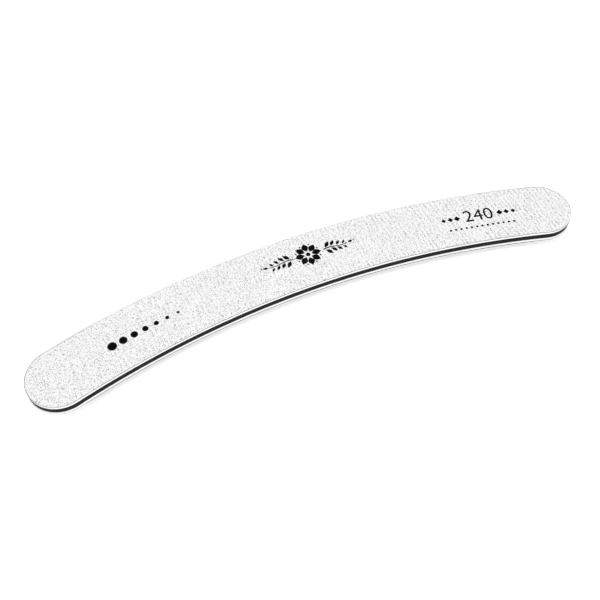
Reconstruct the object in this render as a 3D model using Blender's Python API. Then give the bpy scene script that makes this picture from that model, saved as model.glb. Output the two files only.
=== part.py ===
"""Curved nail file: a black plastic core board with foam pads and abrasive paper bonded to both faces.

Every layer is cut to one outline, a strip of constant width bent to an arc and closed by round ends.
The file lies flat, coarse face down: X runs along its length, +Y points to the outer edge, Z is up.
The origin is on the surface it rests on, at the middle of its bounding box.
"""

import math

import bmesh
import bpy
from mathutils import Matrix, Vector

MM = 0.001

# Outline that all the layers share
LENGTH = 178.0 * MM
WIDTH = 19.5 * MM
ARC_RADIUS = 290.5 * MM

# Thickness of each layer, from the middle of the file outwards
CORE_THICKNESS = 1.92 * MM
CORE_ADHESIVE_THICKNESS = 0.07 * MM
FOAM_THICKNESS = 0.42 * MM
SHEET_ADHESIVE_THICKNESS = 0.07 * MM
PAPER_THICKNESS = 0.33 * MM
FINE_COAT_THICKNESS = 0.14 * MM
COARSE_COAT_THICKNESS = 0.20 * MM

# Clearance left between two layers that are bonded face to face
BOND_GAP = 0.01 * MM

# How far a layer's edge lies inside the outline: foam springs back after the cut, adhesive stays short
FOAM_SETBACK = 0.06 * MM
ADHESIVE_SETBACK = 0.10 * MM

# Edges broken by the die and by buffing
CORE_EDGE_CHAMFER = 0.12 * MM
COAT_EDGE_CHAMFER = 0.05 * MM

# Facets along the arc and round each end
ARC_STEPS = 36
END_STEPS = 20

# Vertices nearer than this are one vertex, and faces that meet at more than this angle have a sharp edge
WELD_DISTANCE = 0.005 * MM
SHARP_ANGLE = math.radians(30)

# Outline worked out from its three sizes
HALF_ANGLE = math.asin((LENGTH - WIDTH) / 2 / ARC_RADIUS)
OUTLINE_DEPTH = ARC_RADIUS * (1 - math.cos(HALF_ANGLE)) + WIDTH
ARC_CENTRE = Vector((0, OUTLINE_DEPTH / 2 - WIDTH / 2 - ARC_RADIUS, 0))


def material(name, colour, roughness, metallic=0.0):
    """A Principled material of one linear colour."""
    made = bpy.data.materials.new(name)
    made.use_nodes = True
    shader = made.node_tree.nodes["Principled BSDF"]
    shader.inputs["Base Color"].default_value = (*colour, 1)
    shader.inputs["Roughness"].default_value = roughness
    shader.inputs["Metallic"].default_value = metallic
    made.diffuse_color = (*colour, 1)
    return made


def half_section(thickness, setback, top_chamfer, bottom_chamfer):
    """Radius and height of a layer's cross-section, from its middle at the top, round the rim, to its middle below."""
    rim = WIDTH / 2 - setback
    points = [(0, thickness)]
    if top_chamfer:
        points += [(rim - top_chamfer, thickness), (rim, thickness - top_chamfer)]
    else:
        points += [(rim, thickness)]
    if bottom_chamfer:
        points += [(rim, bottom_chamfer), (rim - bottom_chamfer, 0)]
    else:
        points += [(rim, 0)]
    return [*points, (0, 0)]


def chain(mesh, points, closed):
    """Vertices joined by edges, as the geometry that a spin takes."""
    verts = [mesh.verts.new(point) for point in points]
    ends = list(zip(verts, verts[1:]))
    if closed:
        ends.append((verts[-1], verts[0]))
    return verts + [mesh.edges.new(pair) for pair in ends]


def spin_strip(mesh, section):
    """The long part: the whole cross-section swept along the arc."""
    mirrored = [(-radius, height) for radius, height in reversed(section[1:-1])]
    start = Matrix.Translation(ARC_CENTRE) @ Matrix.Rotation(-HALF_ANGLE, 4, "Z")
    points = [start @ Vector((0, ARC_RADIUS + across, height)) for across, height in section + mirrored]
    geometry = chain(mesh, points, closed=True)
    bmesh.ops.spin(
        mesh, geom=geometry, cent=ARC_CENTRE, axis=(0, 0, 1), angle=2 * HALF_ANGLE, steps=ARC_STEPS
    )


def spin_end(mesh, section, side):
    """One round end: half the cross-section turned half round. side is 1 for +X and -1 for -X."""
    turn = Matrix.Translation(ARC_CENTRE) @ Matrix.Rotation(-side * HALF_ANGLE, 4, "Z")
    centre = turn @ Vector((0, ARC_RADIUS, 0))
    points = [turn @ Vector((0, ARC_RADIUS + radius, height)) for radius, height in section]
    geometry = chain(mesh, points, closed=False)
    bmesh.ops.spin(mesh, geom=geometry, cent=centre, axis=(0, 0, 1), angle=-side * math.pi, steps=END_STEPS)


def add_layer(name, base, thickness, finish, parent, setback=0.0, top_chamfer=0.0, bottom_chamfer=0.0):
    """One sheet of the laminate, with its lower face at height base."""
    section = half_section(thickness, setback, top_chamfer, bottom_chamfer)
    shape = bmesh.new()
    spin_strip(shape, section)
    for side in (-1, 1):
        spin_end(shape, section, side)
    bmesh.ops.remove_doubles(shape, verts=shape.verts, dist=WELD_DISTANCE)
    bmesh.ops.dissolve_degenerate(shape, edges=shape.edges, dist=WELD_DISTANCE)
    bmesh.ops.recalc_face_normals(shape, faces=shape.faces)
    data = bpy.data.meshes.new(name)
    shape.to_mesh(data)
    shape.free()
    data.shade_smooth()
    data.set_sharp_from_angle(angle=SHARP_ANGLE)
    layer = bpy.data.objects.new(name, data)
    layer.location.z = base
    layer.parent = parent
    data.materials.append(finish)
    bpy.context.scene.collection.objects.link(layer)
    return layer


def build():
    for old in list(bpy.data.objects):
        bpy.data.objects.remove(old)

    core_plastic = material("core_plastic", (0.022, 0.022, 0.023), 0.45)
    clear_adhesive = material("adhesive", (0.75, 0.74, 0.70), 0.35)
    white_foam = material("white_foam", (0.86, 0.86, 0.85), 0.9)
    backing_paper = material("backing_paper", (0.85, 0.85, 0.83), 0.8)
    fine_grit = material("fine_grit", (0.83, 0.83, 0.83), 0.85)
    coarse_grit = material("coarse_grit", (0.78, 0.78, 0.78), 0.9)

    nail_file = bpy.data.objects.new("nail_file", None)
    bpy.context.scene.collection.objects.link(nail_file)

    # Each side's layers in the order in which they leave the core
    side_layers = [
        ("core_adhesive", CORE_ADHESIVE_THICKNESS, clear_adhesive, {"setback": ADHESIVE_SETBACK}),
        ("foam_pad", FOAM_THICKNESS, white_foam, {"setback": FOAM_SETBACK}),
        ("sheet_adhesive", SHEET_ADHESIVE_THICKNESS, clear_adhesive, {"setback": ADHESIVE_SETBACK}),
        ("backing_paper", PAPER_THICKNESS, backing_paper, {}),
    ]
    lower = [
        *side_layers,
        ("grit_coat", COARSE_COAT_THICKNESS, coarse_grit, {"bottom_chamfer": COAT_EDGE_CHAMFER}),
    ]
    upper = [
        *side_layers,
        ("grit_coat", FINE_COAT_THICKNESS, fine_grit, {"top_chamfer": COAT_EDGE_CHAMFER}),
    ]
    core_chamfers = {"top_chamfer": CORE_EDGE_CHAMFER, "bottom_chamfer": CORE_EDGE_CHAMFER}
    stack = [
        *((f"lower_{name}", thickness, finish, edge) for name, thickness, finish, edge in reversed(lower)),
        ("core_board", CORE_THICKNESS, core_plastic, core_chamfers),
        *((f"upper_{name}", thickness, finish, edge) for name, thickness, finish, edge in upper),
    ]

    base = 0.0
    for name, thickness, finish, edge in stack:
        add_layer(name, base, thickness, finish, nail_file, **edge)
        base += thickness + BOND_GAP


build()
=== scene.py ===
"""Looks of a curved nail file: speckled abrasive paper over white foam, on both faces of a black board.

Every sheet of the laminate has the same outline, a strip of constant width bent to an arc and closed by
half-round ends. A layer is its cross-section spun along the arc and half of it spun round each end.
"""

import math

import bmesh
import bpy
from mathutils import Matrix, Vector, noise
from mathutils.bvhtree import BVHTree


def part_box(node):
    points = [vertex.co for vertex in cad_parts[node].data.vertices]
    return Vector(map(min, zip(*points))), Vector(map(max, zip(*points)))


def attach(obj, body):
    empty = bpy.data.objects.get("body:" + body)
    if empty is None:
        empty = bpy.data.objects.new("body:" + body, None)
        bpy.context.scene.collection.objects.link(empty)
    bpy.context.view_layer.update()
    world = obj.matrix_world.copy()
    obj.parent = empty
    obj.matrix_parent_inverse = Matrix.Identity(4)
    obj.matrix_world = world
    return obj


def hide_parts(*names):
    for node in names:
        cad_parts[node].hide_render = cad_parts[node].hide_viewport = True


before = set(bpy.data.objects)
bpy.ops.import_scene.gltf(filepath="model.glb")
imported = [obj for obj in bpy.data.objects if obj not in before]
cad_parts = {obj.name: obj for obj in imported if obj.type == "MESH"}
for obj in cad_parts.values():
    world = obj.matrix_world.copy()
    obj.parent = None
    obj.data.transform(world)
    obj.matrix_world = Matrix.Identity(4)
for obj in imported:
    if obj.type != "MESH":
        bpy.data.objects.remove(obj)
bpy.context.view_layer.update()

MM = 0.001
TOP = Vector((0, 0, 1))

# Outline that all the layers share: its width, and the arc that fits the core's box
WIDTH = 19.5 * MM
CORE_LOW, CORE_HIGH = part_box("core_board")
HALF_CHORD = (CORE_HIGH.x - CORE_LOW.x - WIDTH) / 2
SAGITTA = CORE_HIGH.y - CORE_LOW.y - WIDTH
ARC_RADIUS = (HALF_CHORD ** 2 + SAGITTA ** 2) / (2 * SAGITTA)
HALF_ANGLE = math.asin(HALF_CHORD / ARC_RADIUS)
ARC_CENTRE = Vector((0, CORE_HIGH.y - WIDTH / 2 - ARC_RADIUS, 0))

# Camera, fitted to the photograph's view of the outline
CAMERA_AZIMUTH = math.radians(-23.17)
CAMERA_ELEVATION = math.radians(55.0)
CAMERA_DISTANCE = 254.2 * MM
CAMERA_TARGET = Vector((-5.49, -5.28, 0.0)) * MM
CAMERA_LENS = 50.0
CAMERA_SENSOR = 36.0
CAMERA_NEAREST = 10.0 * MM

# Half the width of the square floor
FLOOR_REACH = 2000.0 * MM

# The floor's shadow is whole up to this distance from the middle of the file, and nearly gone at the second
SHADOW_FULL = 71.0 * MM
SHADOW_GONE = 90.0 * MM

# White that the camera alone sees on the floor: under the whole shadow, at the ends, and more with distance
WHITE_AT_SHADOW = 0.25
WHITE_AT_ENDS = 0.5
WHITE_FAR_OFF = 0.3
FAR_OFF_FROM = 120.0 * MM
FAR_OFF_TO = 600.0 * MM

# A little more white outside the arc, where the lamp behind leaves only a breath of shade
WHITE_OUTSIDE = 0.045

# Light: the world's level, then azimuth, elevation, distance, size and power of the two lamps
WORLD_LEVEL = 0.4
BACK_SOFTBOX = (math.radians(172), math.radians(71.5), 900.0 * MM, 110.0 * MM, 3.55)
FRONT_FILL = (math.radians(-10), math.radians(22), 800.0 * MM, 500.0 * MM, 3.7)

# The spins along the arc are coarse and are cut finer afterwards, so their rounding stays below the weld
ARC_STEPS = 67
WELD_DISTANCE = 0.004 * MM

# Each rounded corner of a cross-section has this many facets, and a sharper edge than this stays crisp
CORNER_STEPS = 3
SHARP_ANGLE = math.radians(50)

# Ink stands this much above the grain and reaches this far into it
INK_FILM = 0.012 * MM
INK_SINK = 0.006 * MM

# It bends over the grain at points this far apart, and points nearer than the second are joined
INK_STEP = 0.14 * MM
INK_WELD = 0.003 * MM

# Where each print lies: along the arc from the middle of the file, then outwards from the centre line
DOTS_PLACE = (-52.5 * MM, -0.3 * MM)
ORNAMENT_PLACE = (2.5 * MM, 1.5 * MM)
FINE_NUMBER_PLACE = (59.5 * MM, 0.7 * MM)
COARSE_NUMBER_PLACE = (0.0, 0.0)
FIGURE_SIZE = 6.6 * MM

# Sockets of a Mix node that blends two colours, which share their names with its other sockets
MIX_A = 6
MIX_B = 7
MIXED = 2


def linear(hex_colour):
    """Linear RGBA of an sRGB colour written as a hex number."""
    channels = [(hex_colour >> shift & 255) / 255 for shift in (16, 8, 0)]
    return (*(c / 12.92 if c <= 0.04045 else ((c + 0.055) / 1.055) ** 2.4 for c in channels), 1.0)


def add_node(tree, kind, settings=None, inputs=None):
    """Adds a node with its settings. Each input is set to a value, or linked where the value is a socket.

    Inputs that share a name, as those of a Math node do, go by their number.
    """
    node = tree.nodes.new(kind)
    for name, value in (settings or {}).items():
        setattr(node, name, value)
    for name, value in (inputs or {}).items():
        if isinstance(value, bpy.types.NodeSocket):
            tree.links.new(value, node.inputs[name])
        else:
            node.inputs[name].default_value = value
    return node


def new_material(name):
    """A material that has no nodes yet, and its node tree."""
    made = bpy.data.materials.new(name)
    made.use_nodes = True
    made.node_tree.nodes.clear()
    return made, made.node_tree


# Materials

def abrasive_coat(name, cluster, streak_spacing, barest, chalk, pit_shade, grain, cut_edge_and_shade):
    """Silicon carbide grain under a white stearate coat: chalky powder, dark ragged grains where it is thin.

    A single grain is too fine to show, so a dark patch stands for a cluster of grains, cluster wide. The
    sheet was coated along Y, which leaves faint barer streaks about streak_spacing apart, plainer towards
    the +X end. A cluster's own chance, the powder on it and its streak add up, and past barest the coat is
    thin.
    """
    powder_per_cluster, ragged_per_cluster, ragged_reach = 2.5, 2.0, 0.6 * cluster
    waves_per_cell, streak_draw, faint_streaks, plain_streaks = 2.0, 0.75, 0.2, 1.15
    powder_weight, thinning = 0.6, 0.16
    cluster_rim, cluster_heart, cluster_height = 0.75, 0.3, 0.6
    first_pit_shade, deepest_pit_shade = 0.45, 0.75
    bump_strength, bump_depth, roughness = 0.7, 0.17 * cluster, 0.8

    made, tree = new_material(name)
    place = add_node(tree, "ShaderNodeTexCoord").outputs["Object"]
    powder = add_node(tree, "ShaderNodeTexNoise", inputs={
        "Vector": place, "Scale": powder_per_cluster / cluster, "Detail": 2.0})
    ragged = add_node(tree, "ShaderNodeTexNoise", inputs={
        "Vector": place, "Scale": ragged_per_cluster / cluster, "Detail": 1.0})
    torn = add_node(tree, "ShaderNodeVectorMath", {"operation": "MULTIPLY_ADD"}, {
        0: ragged.outputs["Color"], 1: (ragged_reach,) * 3, 2: place})
    clusters = add_node(tree, "ShaderNodeTexVoronoi", inputs={
        "Vector": torn.outputs["Vector"], "Scale": 1 / cluster})
    chance = add_node(tree, "ShaderNodeSeparateColor", inputs={"Color": clusters.outputs["Color"]})
    laid = add_node(tree, "ShaderNodeMapping", inputs={"Vector": place, "Scale": (1, streak_draw, 1)})
    streaks = add_node(tree, "ShaderNodeTexGabor", {"gabor_type": "2D"}, {
        "Vector": laid.outputs["Vector"], "Scale": 1 / (waves_per_cell * streak_spacing),
        "Frequency": waves_per_cell, "Anisotropy": 1.0, "Orientation": 0.0})
    lengthwise = add_node(tree, "ShaderNodeSeparateXYZ", inputs={"Vector": place})
    plainness = add_node(tree, "ShaderNodeMapRange", inputs={
        "Value": lengthwise.outputs["X"], "From Min": CORE_LOW.x, "From Max": CORE_HIGH.x,
        "To Min": faint_streaks, "To Max": plain_streaks})
    rim = add_node(tree, "ShaderNodeAttribute", {"attribute_name": "rim"})

    # The streaks run from 0 to 1, and are centred so that they bare as much as they cover
    centred = add_node(tree, "ShaderNodeMath", {"operation": "SUBTRACT"}, {
        0: streaks.outputs["Value"], 1: 0.5})
    streaked = add_node(tree, "ShaderNodeMath", {"operation": "MULTIPLY_ADD"}, {
        0: centred.outputs["Value"], 1: plainness.outputs["Result"], 2: chance.outputs["Red"]})
    dusted = add_node(tree, "ShaderNodeMath", {"operation": "MULTIPLY_ADD"}, {
        0: powder.outputs["Fac"], 1: powder_weight, 2: streaked.outputs["Value"]})
    bare = add_node(tree, "ShaderNodeMapRange", inputs={
        "Value": dusted.outputs["Value"], "From Min": barest, "From Max": barest + thinning})
    body = add_node(tree, "ShaderNodeMapRange", {"interpolation_type": "SMOOTHSTEP"}, {
        "Value": clusters.outputs["Distance"], "From Min": cluster_rim, "From Max": cluster_heart})
    seen = add_node(tree, "ShaderNodeMath", {"operation": "MULTIPLY"}, {
        0: bare.outputs["Result"], 1: body.outputs["Result"]})

    # Painted shade: the powder is a little darker where its noise is high, standing for shade in its pits.
    pits = add_node(tree, "ShaderNodeMapRange", inputs={
        "Value": powder.outputs["Fac"], "From Min": first_pit_shade, "From Max": deepest_pit_shade})
    chalky = add_node(tree, "ShaderNodeMix", {"data_type": "RGBA"}, {
        "Factor": pits.outputs["Result"], MIX_A: linear(chalk), MIX_B: linear(pit_shade)})
    speckled = add_node(tree, "ShaderNodeMix", {"data_type": "RGBA"}, {
        "Factor": seen.outputs["Value"], MIX_A: chalky.outputs[MIXED], MIX_B: linear(grain)})
    # Rim colour: grey of the cut edge; on the coarse coat also painted contact shade at the floor.
    edged = add_node(tree, "ShaderNodeMix", {"data_type": "RGBA"}, {
        "Factor": rim.outputs["Fac"], MIX_A: speckled.outputs[MIXED], MIX_B: linear(cut_edge_and_shade)})
    height = add_node(tree, "ShaderNodeMath", {"operation": "MULTIPLY_ADD"}, {
        0: body.outputs["Result"], 1: cluster_height, 2: powder.outputs["Fac"]})
    bump = add_node(tree, "ShaderNodeBump", inputs={
        "Height": height.outputs["Value"], "Strength": bump_strength, "Distance": bump_depth})
    shader = add_node(tree, "ShaderNodeBsdfPrincipled", inputs={
        "Base Color": edged.outputs[MIXED], "Roughness": roughness, "Normal": bump.outputs["Normal"]})
    add_node(tree, "ShaderNodeOutputMaterial", inputs={"Surface": shader.outputs["BSDF"]})
    return made


def bleached_backing_paper():
    """Bleached latex paper, cut by a die: white, matt and slightly furry, with flat-lying flecks of fibre.

    The resin that holds the grit has seeped a little way in, and shows as a thin grey line on that side. On
    the lower sheet, beside the floor, the grey line is also painted contact shade.
    """
    fibre_spacing, fibre_flatness = 0.25 * MM, 4.0
    bump_strength, bump_depth, roughness = 0.4, 0.02 * MM, 0.85
    made, tree = new_material("bleached_backing_paper")
    place = add_node(tree, "ShaderNodeTexCoord").outputs["Object"]
    soaked_and_shade = add_node(tree, "ShaderNodeAttribute", {"attribute_name": "soaked_and_shade"})
    laid = add_node(tree, "ShaderNodeMapping", inputs={"Vector": place, "Scale": (1, 1, fibre_flatness)})
    fibre = add_node(tree, "ShaderNodeTexNoise", inputs={
        "Vector": laid.outputs["Vector"], "Scale": 1 / fibre_spacing, "Detail": 3.0})
    colour = add_node(tree, "ShaderNodeMix", {"data_type": "RGBA"}, {
        "Factor": fibre.outputs["Fac"], MIX_A: linear(0xFEFEFE), MIX_B: linear(0xF2F2F0)})
    # Grey line: resin stain, and on the lower sheet also painted contact shade at the floor.
    stained_and_shaded = add_node(tree, "ShaderNodeMix", {"data_type": "RGBA"}, {
        "Factor": soaked_and_shade.outputs["Fac"], MIX_A: colour.outputs[MIXED], MIX_B: linear(0x808080)})
    bump = add_node(tree, "ShaderNodeBump", inputs={
        "Height": fibre.outputs["Fac"], "Strength": bump_strength, "Distance": bump_depth})
    shader = add_node(tree, "ShaderNodeBsdfPrincipled", inputs={
        "Base Color": stained_and_shaded.outputs[MIXED], "Roughness": roughness, "Normal": bump.outputs["Normal"]})
    add_node(tree, "ShaderNodeOutputMaterial", inputs={"Surface": shader.outputs["BSDF"]})
    return made


def closed_cell_foam():
    """White polyethylene foam, sliced open at the edge: matt walls round tiny cells, with painted shade in
    the cells' hollows.
    """
    cell_size, cell_rim, cell_heart = 0.16 * MM, 0.45, 0.15
    bump_strength, bump_depth, roughness = 0.6, 0.03 * MM, 0.7
    made, tree = new_material("white_polyethylene_foam")
    place = add_node(tree, "ShaderNodeTexCoord").outputs["Object"]
    cells = add_node(tree, "ShaderNodeTexVoronoi", inputs={"Vector": place, "Scale": 1 / cell_size})
    # Painted shade: each cut-open cell is darker towards its middle, where it is deepest.
    hollow = add_node(tree, "ShaderNodeMapRange", inputs={
        "Value": cells.outputs["Distance"], "From Min": cell_rim, "From Max": cell_heart})
    colour = add_node(tree, "ShaderNodeMix", {"data_type": "RGBA"}, {
        "Factor": hollow.outputs["Result"], MIX_A: linear(0xFEFEFE), MIX_B: linear(0xECECEB)})
    bump = add_node(tree, "ShaderNodeBump", inputs={
        "Height": cells.outputs["Distance"], "Strength": bump_strength, "Distance": bump_depth})
    shader = add_node(tree, "ShaderNodeBsdfPrincipled", inputs={
        "Base Color": colour.outputs[MIXED], "Roughness": roughness, "Normal": bump.outputs["Normal"]})
    add_node(tree, "ShaderNodeOutputMaterial", inputs={"Surface": shader.outputs["BSDF"]})
    return made


def black_polystyrene():
    """High impact polystyrene sheet, black right through. The die leaves its edge dull and streaky."""
    drag_width, drag_draw, first_streak, full_streak = 0.3 * MM, 0.12, 0.35, 0.7
    smoothest, roughest, reflection = 0.35, 0.65, 0.15
    bump_strength, bump_depth = 0.7, 0.03 * MM
    made, tree = new_material("black_polystyrene")
    place = add_node(tree, "ShaderNodeTexCoord").outputs["Object"]
    cut = add_node(tree, "ShaderNodeMapping", inputs={"Vector": place, "Scale": (1, 1, drag_draw)})
    drag = add_node(tree, "ShaderNodeTexNoise", inputs={
        "Vector": cut.outputs["Vector"], "Scale": 1 / drag_width, "Detail": 4.0, "Roughness": 0.65})
    streak = add_node(tree, "ShaderNodeMapRange", inputs={
        "Value": drag.outputs["Fac"], "From Min": first_streak, "From Max": full_streak})
    colour = add_node(tree, "ShaderNodeMix", {"data_type": "RGBA"}, {
        "Factor": streak.outputs["Result"], MIX_A: linear(0x060606), MIX_B: linear(0x1A1A1B)})
    sheen = add_node(tree, "ShaderNodeMapRange", inputs={
        "Value": drag.outputs["Fac"], "To Min": smoothest, "To Max": roughest})
    bump = add_node(tree, "ShaderNodeBump", inputs={
        "Height": drag.outputs["Fac"], "Strength": bump_strength, "Distance": bump_depth})
    shader = add_node(tree, "ShaderNodeBsdfPrincipled", inputs={
        "Base Color": colour.outputs[MIXED], "Roughness": sheen.outputs["Result"],
        "Normal": bump.outputs["Normal"], "Specular IOR Level": reflection})
    add_node(tree, "ShaderNodeOutputMaterial", inputs={"Surface": shader.outputs["BSDF"]})
    return made


def acrylic_adhesive():
    """Film of contact adhesive, squeezed and cut: milky, faintly yellow, glossier than what it joins."""
    pull_width = 0.4 * MM
    bump_strength, bump_depth, roughness = 0.5, 0.02 * MM, 0.35
    made, tree = new_material("acrylic_adhesive")
    place = add_node(tree, "ShaderNodeTexCoord").outputs["Object"]
    pulled = add_node(tree, "ShaderNodeTexNoise", inputs={
        "Vector": place, "Scale": 1 / pull_width, "Detail": 2.0})
    colour = add_node(tree, "ShaderNodeMix", {"data_type": "RGBA"}, {
        "Factor": pulled.outputs["Fac"], MIX_A: linear(0xF4F4F1), MIX_B: linear(0xE2E1DC)})
    bump = add_node(tree, "ShaderNodeBump", inputs={
        "Height": pulled.outputs["Fac"], "Strength": bump_strength, "Distance": bump_depth})
    shader = add_node(tree, "ShaderNodeBsdfPrincipled", inputs={
        "Base Color": colour.outputs[MIXED], "Roughness": roughness, "Normal": bump.outputs["Normal"]})
    add_node(tree, "ShaderNodeOutputMaterial", inputs={"Surface": shader.outputs["BSDF"]})
    return made


def print_ink():
    """Solvent ink, screen printed: near black, matt, greyer where it is thin, with pinholes over pits."""
    pit_spacing = 0.12 * MM
    thin_from, thinnest, pinhole_from, open_pinhole = 0.55, 0.75, 0.72, 0.78
    bump_strength, bump_depth, roughness, reflection = 0.6, 0.03 * MM, 0.8, 0.04
    made, tree = new_material("black_screen_ink")
    place = add_node(tree, "ShaderNodeTexCoord").outputs["Object"]
    cover = add_node(tree, "ShaderNodeTexNoise", inputs={
        "Vector": place, "Scale": 1 / pit_spacing, "Detail": 2.0})
    thin = add_node(tree, "ShaderNodeMapRange", inputs={
        "Value": cover.outputs["Fac"], "From Min": thin_from, "From Max": thinnest})
    film = add_node(tree, "ShaderNodeMix", {"data_type": "RGBA"}, {
        "Factor": thin.outputs["Result"], MIX_A: linear(0x030303), MIX_B: linear(0x161617)})
    pinhole = add_node(tree, "ShaderNodeMapRange", inputs={
        "Value": cover.outputs["Fac"], "From Min": pinhole_from, "From Max": open_pinhole})
    colour = add_node(tree, "ShaderNodeMix", {"data_type": "RGBA"}, {
        "Factor": pinhole.outputs["Result"], MIX_A: film.outputs[MIXED], MIX_B: linear(0xC8C8C8)})
    bump = add_node(tree, "ShaderNodeBump", {"invert": True}, {
        "Height": cover.outputs["Fac"], "Strength": bump_strength, "Distance": bump_depth})
    shader = add_node(tree, "ShaderNodeBsdfPrincipled", inputs={
        "Base Color": colour.outputs[MIXED], "Roughness": roughness,
        "Normal": bump.outputs["Normal"], "Specular IOR Level": reflection})
    add_node(tree, "ShaderNodeOutputMaterial", inputs={"Surface": shader.outputs["BSDF"]})
    return made


# Places on the outline

def on_arc(along, across, height=0.0):
    """The point at an arc length from the middle of the file and a distance outwards of its centre line."""
    angle = along / ARC_RADIUS
    outwards = Vector((math.sin(angle), math.cos(angle), 0))
    return ARC_CENTRE + outwards * (ARC_RADIUS + across) + TOP * height


def centre_near(point):
    """The nearest point of the centre line, at height zero."""
    out = Vector((point.x, point.y, 0)) - ARC_CENTRE
    angle = max(-HALF_ANGLE, min(HALF_ANGLE, math.atan2(out.x, out.y)))
    return on_arc(angle * ARC_RADIUS, 0)


def rim_distance(point):
    """How far a point lies inside the outline."""
    return WIDTH / 2 - (Vector((point.x, point.y, 0)) - centre_near(point)).length


def smooth_share(value, low, high):
    """0 below low, 1 above high and a smooth rise between them."""
    share = max(0.0, min(1.0, (value - low) / (high - low)))
    return share * share * (3 - 2 * share)


# Layers

def chain(mesh, points, closed):
    """Vertices joined by edges, as the geometry that a spin takes."""
    verts = [mesh.verts.new(point) for point in points]
    ends = list(zip(verts, verts[1:]))
    if closed:
        ends.append((verts[-1], verts[0]))
    return verts + [mesh.edges.new(pair) for pair in ends]


def half_section(low, high, setback, corner, side_rows, upper_step=None, lower_step=None):
    """Half of a layer's cross-section, from the middle of its upper face round the rim to the middle below.

    Each point is its distance from the centre line and its height. upper_step and lower_step are the
    spacing of the rows on a face that shows. A hidden face has none.
    """
    rim = WIDTH / 2 - setback
    flat = rim - corner

    def face(step, height):
        rows = round(flat / step) if step else 1
        return [(flat * row / rows, height) for row in range(rows + 1)]

    def turn(height, start):
        angles = [math.radians(start - 90 * step / CORNER_STEPS) for step in range(1, CORNER_STEPS + 1)]
        return [(flat + corner * math.cos(a), height + corner * math.sin(a)) for a in angles]

    side = high - low - 2 * corner
    wall = [(rim, high - corner - side * row / side_rows) for row in range(1, side_rows + 1)]
    upper = face(upper_step, high) + turn(high - corner, 90)
    lower = turn(low + corner, 0)[:-1] + list(reversed(face(lower_step, low)))
    return upper + wall + lower


def runs_along(edge):
    """Whether an edge of the strip lies along the arc and not across it."""
    nearly_along = 0.7
    out = (edge.verts[0].co + edge.verts[1].co) / 2 - ARC_CENTRE
    tangent = Vector((out.y, -out.x, 0)).normalized()
    return abs((edge.verts[1].co - edge.verts[0].co).normalized().dot(tangent)) > nearly_along


def spin_layer(section, spacing):
    """A closed layer with vertices about spacing apart along its rim."""
    mesh = bmesh.new()
    end_steps = round(math.pi * WIDTH / 2 / spacing)
    for side in (-1, 1):
        place = side * HALF_ANGLE * ARC_RADIUS
        end = chain(mesh, [on_arc(place, out, height) for out, height in section], closed=False)
        bmesh.ops.spin(
            mesh, geom=end, cent=on_arc(place, 0), axis=TOP, angle=-side * math.pi, steps=end_steps)
    end_edges = set(mesh.edges)
    mirrored = [(-out, height) for out, height in reversed(section[1:-1])]
    start = -HALF_ANGLE * ARC_RADIUS
    strip = chain(mesh, [on_arc(start, out, height) for out, height in section + mirrored], closed=True)
    bmesh.ops.spin(mesh, geom=strip, cent=ARC_CENTRE, axis=TOP, angle=-2 * HALF_ANGLE, steps=ARC_STEPS)
    long_edges = [edge for edge in mesh.edges if edge not in end_edges and runs_along(edge)]
    cuts = round(2 * HALF_ANGLE * ARC_RADIUS / ARC_STEPS / spacing) - 1
    bmesh.ops.subdivide_edges(mesh, edges=long_edges, cuts=cuts)
    bmesh.ops.remove_doubles(mesh, verts=mesh.verts, dist=WELD_DISTANCE)
    bmesh.ops.dissolve_degenerate(mesh, edges=mesh.edges, dist=WELD_DISTANCE)
    bmesh.ops.recalc_face_normals(mesh, faces=mesh.faces)
    return mesh


def make_piece(name, mesh, finish):
    """Turns a bmesh into a smooth shaded object that rides on the file."""
    data = bpy.data.meshes.new(name)
    mesh.to_mesh(data)
    mesh.free()
    data.materials.append(finish)
    data.shade_smooth()
    data.set_sharp_from_angle(angle=SHARP_ANGLE)
    piece = bpy.data.objects.new(name, data)
    bpy.context.scene.collection.objects.link(piece)
    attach(piece, "root")
    return piece


def press_in(vertex, depth):
    """Moves a vertex towards the centre line."""
    inwards = centre_near(vertex.co) - Vector((vertex.co.x, vertex.co.y, 0))
    if inwards.length > depth:
        vertex.co += inwards.normalized() * depth


def grit_relief(point, speck):
    """Depth below the highest grain, from 0 to 1. The mottles are speck wide and drawn out along Y."""
    drawn_out, grains_per_speck = 0.6, 1.4
    clump_weight, grain_weight, widest_grain = 0.55, 0.6, 0.75
    clump = 0.5 + 0.5 * noise.noise(Vector((point.x, point.y * drawn_out, 0)) / speck)
    grain = noise.voronoi(Vector((point.x, point.y, 0)) / speck * grains_per_speck)[0][0]
    return min(1.0, clump_weight * clump + grain_weight * min(grain, widest_grain))


def rim_line(point):
    """Width of the grey line beside the rim.

    It is thinnest along the hollow side of the arc and widest round the ends, away from it.
    """
    faintest, plainest = 0.065 * MM, 0.4 * MM
    ends_from, ends_to = 58 * MM, 82 * MM
    hollow_side, far_side = -0.7, -0.1
    outwards = (Vector((point.x, point.y, 0)) - centre_near(point)).normalized()
    near_end = smooth_share(abs(point.x), ends_from, ends_to)
    away = smooth_share(outwards.y, hollow_side, far_side)
    return faintest + (plainest - faintest) * near_end * away


def chip(point, deepest):
    """How far the coat is broken back at its rim: by deepest where a grain came away, hardly elsewhere."""
    chip_spacing, first_chip, whole_chip = 0.6 * MM, 0.15, 0.6
    chance = noise.noise(Vector((point.x, point.y, 0)) / chip_spacing)
    return deepest * smooth_share(chance, first_chip, whole_chip)


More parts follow.
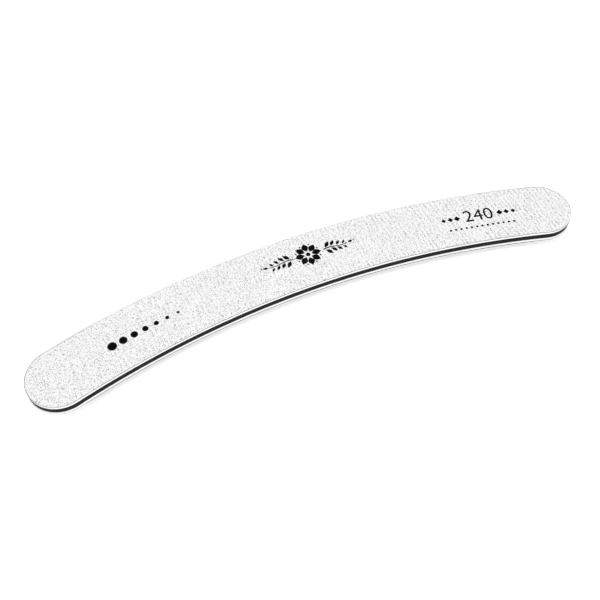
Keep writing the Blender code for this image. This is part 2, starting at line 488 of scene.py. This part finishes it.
def coat_piece(name, node, finish, speck, deepest, deepest_chip, step, upper):
    """A sheet of grit. Its face lies below the CAD face by its grain's depth and by the print's thickness.

    The grain is shallower beside the rim. The attribute rim is the strength of the grey line beside the rim,
    the die's cut edge. On the lower sheet, beside the floor, it is also painted contact shade, which fades
    round the ends.
    """
    corner, side_rows, on_face = 0.04 * MM, 3, 0.001 * MM
    shallow_share, shallow_width = 0.4, 0.5 * MM
    wall_reach, wall_relief = 0.05 * MM, 0.02 * MM
    shade_fade_share, shade_fade_from, shade_fade_to = 0.8, 68 * MM, 82 * MM
    low, high = (point.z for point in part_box(node))
    steps = {"upper_step": step} if upper else {"lower_step": step}
    mesh = spin_layer(half_section(low, high, 0.0, corner, side_rows, **steps), step)
    rim_layer = mesh.verts.layers.float.new("rim")
    face_height = high if upper else low
    inwards = -1 if upper else 1
    for vertex in mesh.verts:
        inside = rim_distance(vertex.co)
        depth = grit_relief(vertex.co, speck)
        # On the lower sheet the rim line is partly painted contact shade, faded round the ends.
        shade_fade = 0.0 if upper else shade_fade_share * smooth_share(abs(vertex.co.x), shade_fade_from, shade_fade_to)
        vertex[rim_layer] = (1 - shade_fade) * (1 - smooth_share(inside, 0, rim_line(vertex.co)))
        if abs(vertex.co.z - face_height) < on_face:
            share = shallow_share + (1 - shallow_share) * smooth_share(inside, 0, shallow_width)
            vertex.co.z += inwards * (INK_FILM + deepest * depth * share)
        elif inside < wall_reach:
            press_in(vertex, wall_relief * depth + chip(vertex.co, deepest_chip))
    piece = make_piece(name, mesh, finish)
    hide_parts(node)
    return piece


def edge_piece(name, node, finish, spacing, setback, corner, side_rows, wear):
    """A layer that shows only at its cut edge. wear(point) is how far the edge is pressed in there.

    The attribute of that grey line is greatest on the side that faces the grit, and fades within the edge.
    On the lower paper, beside the floor, it is also painted contact shade. It is fainter round the -X end,
    where that shade fades.
    """
    fainter_share, faint_to, plain_from = 0.35, CORE_LOW.x + 4 * MM, CORE_LOW.x + 18 * MM
    soaked_and_shade_through, soaked_and_shade_to, wear_margin = 0.02 * MM, 0.1 * MM, 0.01 * MM
    low, high = (point.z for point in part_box(node))
    mesh = spin_layer(half_section(low, high, setback, corner, side_rows), spacing)
    soaked_and_shade_layer = mesh.verts.layers.float.new("soaked_and_shade")
    for vertex in mesh.verts:
        from_grit = high - vertex.co.z if low > CORE_HIGH.z else vertex.co.z - low
        # The grey line: resin stain, and on the lower paper also painted contact shade, fainter round the -X
        # end.
        amount = fainter_share + (1 - fainter_share) * smooth_share(vertex.co.x, faint_to, plain_from)
        vertex[soaked_and_shade_layer] = amount * (1 - smooth_share(from_grit, soaked_and_shade_through, soaked_and_shade_to))
        if rim_distance(vertex.co) < setback + corner + wear_margin:
            press_in(vertex, wear(vertex.co))
    piece = make_piece(name, mesh, finish)
    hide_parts(node)
    return piece


def fibre_wear(point):
    """Fibres of the cut paper, which lie flat, stand out and fall back along its edge."""
    deepest, fibre_spacing, fibre_flatness = 0.03 * MM, 0.35 * MM, 3
    fibre = noise.noise(Vector((point.x, point.y, point.z * fibre_flatness)) / fibre_spacing)
    return deepest * (0.5 + 0.5 * fibre)


def cell_wear(point):
    """Cells of the foam that the cut opened."""
    deepest, cell_size = 0.05 * MM, 0.22 * MM
    cell = noise.voronoi(Vector(point) / cell_size)[0][0]
    return deepest * (1 - min(cell, 1.0))


def die_wear(point):
    """The die slides down the upper part of the core and tears the last third of it."""
    drag_width, drag_draw, drag_depth = 0.5 * MM, 0.1, 0.012 * MM
    wander_width, wander_depth, wander_height = 3.0 * MM, 0.01 * MM, 0.15 * MM
    crumb_size, crumb_depth = 0.35 * MM, 0.02 * MM
    torn_below, whole_above = CORE_LOW.z + 0.5 * MM, CORE_LOW.z + 0.8 * MM
    drag = noise.noise(Vector((point.x, point.y, point.z * drag_draw)) / drag_width)
    wander = noise.noise(Vector((point.x, point.y, point.z)) / wander_width)
    torn = 1 - smooth_share(point.z + wander_height * wander, torn_below, whole_above)
    crumbs = noise.noise(Vector(point) / crumb_size)
    return drag_depth * (1 + drag) + wander_depth * (1 + wander) + crumb_depth * torn * (1 + crumbs)


# Print

def add_dot(mesh, radius, x, y, corners=24):
    """A flat dot, or a lozenge where it has four corners."""
    place = Matrix.Translation((x, y, 0))
    bmesh.ops.create_circle(mesh, cap_ends=True, radius=radius, segments=corners, matrix=place)


def add_leaf(mesh, length, width, x, y, reach, turn):
    """A leaf with a point at each end. It points along turn and starts at a distance reach from x, y."""
    corners = 28
    place = Matrix.Translation((x, y, 0)) @ Matrix.Rotation(turn, 4, "Z") @ Matrix.Translation((reach, 0, 0))
    ring = bmesh.ops.create_circle(mesh, cap_ends=True, radius=1.0, segments=corners)
    for vertex in ring["verts"]:
        along, across = vertex.co.x, vertex.co.y
        vertex.co = place @ Vector(((along + 1) * length / 2, across ** 3 * width / 2, 0))


def add_rosette(mesh):
    """Leaves round a dot, with a small dot in each gap."""
    heart_radius, bud_radius, bud_reach = 0.72 * MM, 0.26 * MM, 3.85 * MM
    leaf_length, leaf_width, leaf_reach = 3.3 * MM, 2.1 * MM, 1.08 * MM
    leaves = 8
    add_dot(mesh, heart_radius, 0, 0)
    for index in range(leaves):
        turn = 2 * math.pi * index / leaves
        gap = turn + math.pi / leaves
        add_leaf(mesh, leaf_length, leaf_width, 0, 0, leaf_reach, turn)
        add_dot(mesh, bud_radius, bud_reach * math.cos(gap), bud_reach * math.sin(gap))


def add_sprig(mesh):
    """A wavy stem to the right of the rosette, with pairs of leaves that grow smaller towards its tip."""
    start, length, wave, stem_steps = 5.1 * MM, 8.0 * MM, 0.25 * MM, 40
    root_thickness, tip_thickness = 0.42 * MM, 0.24 * MM
    leaf_length, leaf_width, leaf_reach, leaf_turn = 2.9 * MM, 1.3 * MM, 0.42 * MM, math.radians(50)
    pairs, first_share, pair_share, smaller_share = 4, 0.06, 0.235, 0.13
    stem = bmesh.ops.create_grid(mesh, x_segments=stem_steps, y_segments=1, size=0.5)
    for vertex in stem["verts"]:
        share = vertex.co.x + 0.5
        thickness = root_thickness + (tip_thickness - root_thickness) * share
        middle = wave * math.sin(2 * math.pi * share)
        vertex.co = Vector((start + share * length, middle + vertex.co.y * thickness, 0))
    for index in range(pairs):
        share = first_share + pair_share * index
        size = 1 - smaller_share * index
        x = start + share * length
        y = wave * math.sin(2 * math.pi * share)
        for way in (-1, 1):
            add_leaf(mesh, leaf_length * size, leaf_width * size, x, y, leaf_reach, way * leaf_turn)
    end_length, end_width, end_reach, end_turn = 1.8 * MM, 0.95 * MM, 0.2 * MM, math.radians(12)
    bud_radius, bud_reach = 0.24 * MM, 2.45 * MM
    tip = start + length
    add_leaf(mesh, end_length, end_width, tip, 0, end_reach, end_turn)
    add_dot(mesh, bud_radius, tip + bud_reach * math.cos(end_turn), bud_reach * math.sin(end_turn))


def ornament():
    """A rosette between two sprigs."""
    mesh = bmesh.new()
    add_sprig(mesh)
    everything = mesh.verts[:] + mesh.edges[:] + mesh.faces[:]
    bmesh.ops.mirror(mesh, geom=everything, merge_dist=-1, axis="X")
    add_rosette(mesh)
    return mesh


def graded_dots():
    """A row of dots that grow smaller from left to right, as grit does from coarse to fine."""
    dots, pitch = 7, 3.6 * MM
    first_radius, smaller_by = 1.42 * MM, 0.16 * MM
    mesh = bmesh.new()
    for index in range(dots):
        place = (index - (dots - 1) / 2) * pitch
        add_dot(mesh, first_radius - smaller_by * index, place, 0, corners=32)
    return mesh


def number(body, size):
    """Plain figures between two rows of lozenges, over a line of small dots."""
    lozenges, lozenge_gap, lozenge_pitch = 3, 0.36 * size, 0.34 * size
    first_lozenge, smaller_by = 0.16 * size, 0.018 * size
    dots, dot_radius, dot_pitch, dots_below = 13, 0.062 * size, 0.27 * size, 0.66 * size
    curve = bpy.data.curves.new("figures", "FONT")
    curve.body = body
    curve.size = size
    curve.align_x = "CENTER"
    curve.align_y = "CENTER"
    holder = bpy.data.objects.new("figures", curve)
    bpy.context.scene.collection.objects.link(holder)
    flat = bpy.data.meshes.new_from_object(holder.evaluated_get(bpy.context.evaluated_depsgraph_get()))
    bpy.data.objects.remove(holder)
    mesh = bmesh.new()
    mesh.from_mesh(flat)
    edge = max(vertex.co.x for vertex in mesh.verts)
    for index in range(lozenges):
        for way in (-1, 1):
            place = way * (edge + lozenge_gap + lozenge_pitch * index)
            add_dot(mesh, first_lozenge - smaller_by * index, place, 0, corners=4)
    for index in range(dots):
        place = (index - (dots - 1) / 2) * dot_pitch
        add_dot(mesh, dot_radius, place, -dots_below, corners=12)
    return mesh


def lay_ink(name, mesh, centre, coat, finish, side=1):
    """Bends flat artwork round the arc, lays it on the coat and gives it the thickness of the ink.

    centre is its place along and across the arc. side is 1 for the upper face and -1 for the lower one,
    where the artwork is read from below.
    """
    along, across = centre
    clear_of_coat = 10 * MM
    bounds = [
        (min(v.co[axis] for v in mesh.verts), max(v.co[axis] for v in mesh.verts)) for axis in (0, 1)
    ]
    for axis, (low, high) in enumerate(bounds):
        normal = Vector((axis == 0, axis == 1, 0))
        for cut in range(1, int((high - low) / INK_STEP) + 1):
            bmesh.ops.bisect_plane(
                mesh,
                geom=mesh.verts[:] + mesh.edges[:] + mesh.faces[:],
                plane_co=normal * (low + cut * INK_STEP),
                plane_no=normal,
            )
    bmesh.ops.remove_doubles(mesh, verts=mesh.verts, dist=INK_WELD)
    bmesh.ops.dissolve_degenerate(mesh, edges=mesh.edges, dist=INK_WELD)
    loose = [vertex for vertex in mesh.verts if not vertex.link_faces]
    bmesh.ops.delete(mesh, geom=loose, context="VERTS")
    surface = BVHTree.FromPolygons(
        [v.co for v in coat.data.vertices], [p.vertices for p in coat.data.polygons])
    for vertex in mesh.verts:
        place = on_arc(along + vertex.co.x, across + side * vertex.co.y, side * clear_of_coat)
        hit = surface.ray_cast(place, -side * TOP)[0]
        vertex.co = hit - side * TOP * INK_SINK
    film = bmesh.ops.extrude_face_region(mesh, geom=mesh.faces[:])["geom"]
    for vertex in film:
        if isinstance(vertex, bmesh.types.BMVert):
            vertex.co.z += side * (INK_SINK + INK_FILM)
    bmesh.ops.recalc_face_normals(mesh, faces=mesh.faces)
    return make_piece(name, mesh, finish)


# The object

# In each coat the pit colour is painted shade in the powder's pits.
fine_grit = abrasive_coat(
    "stearated_fine_grit", cluster=0.19 * MM, streak_spacing=1.4 * MM, barest=0.98,
    chalk=0xFFFFFF, pit_shade=0xE8E8E8, grain=0x040404, cut_edge_and_shade=0x747474)
# The coarse coat's dark rim colour is partly painted contact shade where the file meets the floor.
coarse_grit = abrasive_coat(
    "stearated_coarse_grit", cluster=0.34 * MM, streak_spacing=1.7 * MM, barest=0.86,
    chalk=0xFCFCFC, pit_shade=0xE8E8E8, grain=0x141414, cut_edge_and_shade=0x262626)
paper = bleached_backing_paper()
foam = closed_cell_foam()
plastic = black_polystyrene()
adhesive = acrylic_adhesive()
ink = print_ink()

upper_coat = coat_piece(
    "upper_grit_sheet", "upper_grit_coat", fine_grit,
    speck=0.75 * MM, deepest=0.05 * MM, deepest_chip=0.09 * MM, step=0.24 * MM, upper=True)
lower_coat = coat_piece(
    "lower_grit_sheet", "lower_grit_coat", coarse_grit,
    speck=1.1 * MM, deepest=0.09 * MM, deepest_chip=0.03 * MM, step=0.30 * MM, upper=False)
for side in ("upper", "lower"):
    sheet = edge_piece(
        f"{side}_paper", f"{side}_backing_paper", paper,
        spacing=0.24 * MM, setback=0.0, corner=0.03 * MM, side_rows=5, wear=fibre_wear)
    pad = edge_piece(
        f"{side}_foam", f"{side}_foam_pad", foam,
        spacing=0.2 * MM, setback=0.03 * MM, corner=0.05 * MM, side_rows=4, wear=cell_wear)
    for film in ("core_adhesive", "sheet_adhesive"):
        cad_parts[f"{side}_{film}"].data.materials[0] = adhesive
core = edge_piece(
    "core", "core_board", plastic,
    spacing=0.24 * MM, setback=0.0, corner=0.12 * MM, side_rows=12, wear=die_wear)

lay_ink("graded_dots", graded_dots(), DOTS_PLACE, upper_coat, ink)
lay_ink("ornament", ornament(), ORNAMENT_PLACE, upper_coat, ink)
lay_ink("fine_grit_number", number("240", FIGURE_SIZE), FINE_NUMBER_PLACE, upper_coat, ink)
lay_ink("coarse_grit_number", number("150", FIGURE_SIZE), COARSE_NUMBER_PLACE, lower_coat, ink, side=-1)


# Stage, light and camera

def white_floor():
    """Matt white paper. The camera sees it a little whiter than it is lit, so that only the shadow shows.

    The extra white grows round both ends of the file, where the shadow fades out, beyond the outer side of
    the arc, and again far behind, where the lamps reach the floor less.
    """
    made, tree = new_material("white_floor")
    place = add_node(tree, "ShaderNodeTexCoord").outputs["Object"]
    reach = add_node(tree, "ShaderNodeVectorMath", {"operation": "LENGTH"}, {0: place})
    near = add_node(tree, "ShaderNodeMapRange", {"interpolation_type": "SMOOTHSTEP"}, {
        "Value": reach.outputs["Value"], "From Min": SHADOW_FULL, "From Max": SHADOW_GONE,
        "To Min": WHITE_AT_SHADOW, "To Max": WHITE_AT_ENDS})
    far = add_node(tree, "ShaderNodeMapRange", {"interpolation_type": "SMOOTHSTEP"}, {
        "Value": reach.outputs["Value"], "From Min": FAR_OFF_FROM, "From Max": FAR_OFF_TO,
        "To Min": 0.0, "To Max": WHITE_FAR_OFF})
    from_centre = add_node(tree, "ShaderNodeVectorMath", {"operation": "DISTANCE"}, {
        0: place, 1: ARC_CENTRE})
    outside = add_node(tree, "ShaderNodeMapRange", inputs={
        "Value": from_centre.outputs["Value"], "From Min": ARC_RADIUS, "From Max": ARC_RADIUS + WIDTH / 2,
        "To Min": 0.0, "To Max": WHITE_OUTSIDE})
    around = add_node(tree, "ShaderNodeMath", {"operation": "ADD"}, {
        0: near.outputs["Result"], 1: far.outputs["Result"]})
    white = add_node(tree, "ShaderNodeMath", {"operation": "ADD"}, {
        0: around.outputs["Value"], 1: outside.outputs["Result"]})
    path = add_node(tree, "ShaderNodeLightPath")
    lit = add_node(tree, "ShaderNodeBsdfDiffuse", inputs={"Color": linear(0xF4F4F4)})
    lift = add_node(tree, "ShaderNodeMath", {"operation": "MULTIPLY"}, {
        0: path.outputs["Is Camera Ray"], 1: white.outputs["Value"]})
    glow = add_node(tree, "ShaderNodeEmission", inputs={
        "Color": (1, 1, 1, 1), "Strength": lift.outputs["Value"]})
    both = add_node(tree, "ShaderNodeAddShader", inputs={
        0: lit.outputs["BSDF"], 1: glow.outputs["Emission"]})
    add_node(tree, "ShaderNodeOutputMaterial", inputs={"Surface": both.outputs["Shader"]})
    return made


def build_stage():
    """The floor that the file lies on."""
    mesh = bmesh.new()
    bmesh.ops.create_grid(mesh, size=FLOOR_REACH)
    data = bpy.data.meshes.new("floor")
    mesh.to_mesh(data)
    mesh.free()
    data.materials.append(white_floor())
    floor = bpy.data.objects.new("floor", data)
    bpy.context.scene.collection.objects.link(floor)


def build_world():
    """Even white surroundings, which the camera and reflections see as plain white."""
    world = bpy.data.worlds.new("studio")
    world.use_nodes = True
    tree = world.node_tree
    tree.nodes.clear()
    path = add_node(tree, "ShaderNodeLightPath")
    direct = add_node(tree, "ShaderNodeMath", {"operation": "MAXIMUM"}, {
        0: path.outputs["Is Camera Ray"], 1: path.outputs["Is Glossy Ray"]})
    seen = add_node(tree, "ShaderNodeMath", {"operation": "MAXIMUM"}, {
        0: direct.outputs["Value"], 1: path.outputs["Is Transmission Ray"]})
    level = add_node(tree, "ShaderNodeMapRange", inputs={
        "Value": seen.outputs["Value"], "To Min": WORLD_LEVEL, "To Max": 1.0})
    sky = add_node(tree, "ShaderNodeBackground", inputs={
        "Color": (1, 1, 1, 1), "Strength": level.outputs["Result"]})
    add_node(tree, "ShaderNodeOutputWorld", inputs={"Surface": sky.outputs["Background"]})
    bpy.context.scene.world = world


def direction_to(azimuth, elevation):
    """Unit vector from the file towards a camera or a lamp. Azimuth 0 is on the -Y side."""
    return Vector((
        math.sin(azimuth) * math.cos(elevation),
        -math.cos(azimuth) * math.cos(elevation),
        math.sin(elevation),
    ))


def build_lamp(name, azimuth, elevation, distance, size, power):
    """A square soft box that faces the file."""
    direction = direction_to(azimuth, elevation)
    lamp = bpy.data.lights.new(name, "AREA")
    lamp.size = size
    lamp.energy = power
    holder = bpy.data.objects.new(name, lamp)
    holder.location = direction * distance
    holder.rotation_euler = direction.to_track_quat("Z", "Y").to_euler()
    bpy.context.scene.collection.objects.link(holder)


def build_camera():
    """The photograph's view."""
    direction = direction_to(CAMERA_AZIMUTH, CAMERA_ELEVATION)
    lens = bpy.data.cameras.new("camera")
    lens.lens = CAMERA_LENS
    lens.sensor_width = CAMERA_SENSOR
    lens.clip_start = CAMERA_NEAREST
    camera = bpy.data.objects.new("camera", lens)
    camera.location = CAMERA_TARGET + direction * CAMERA_DISTANCE
    camera.rotation_euler = direction.to_track_quat("Z", "Y").to_euler()
    bpy.context.scene.collection.objects.link(camera)
    bpy.context.scene.camera = camera


build_stage()
build_world()
build_lamp("back_softbox", *BACK_SOFTBOX)
build_lamp("front_fill", *FRONT_FILL)
build_camera()
bpy.context.scene.view_settings.view_transform = "Standard"
